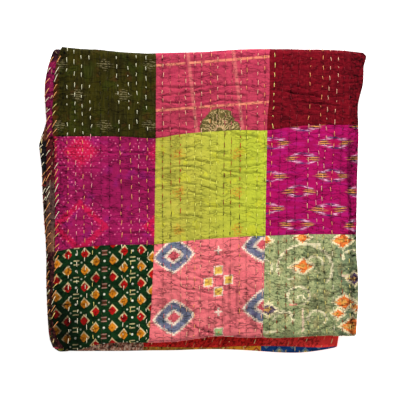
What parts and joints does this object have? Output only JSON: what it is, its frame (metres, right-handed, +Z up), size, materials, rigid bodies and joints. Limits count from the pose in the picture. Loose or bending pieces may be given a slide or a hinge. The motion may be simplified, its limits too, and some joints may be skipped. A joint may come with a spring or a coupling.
{
  "type": "patchwork throw",
  "caption": "Cotton patchwork throw with running-stitch quilting, folded flat in half and then in thirds, resting on its underside.",
  "frame": {"origin": "centre of the folded throw's box, on the surface it lies on", "axes": "+X to the right, from the hems to the lengthwise fold; +Y back, to the wide fold; +Z up"},
  "size_m": [0.6575, 0.6156, 0.0294],
  "materials": {
    "quilted_cotton": "soft washed cotton patchwork, quilted in rows of coloured running stitch"
  },
  "bodies": {
    "root": {"throw": "quilted_cotton"}
  },
  "joints": []
}
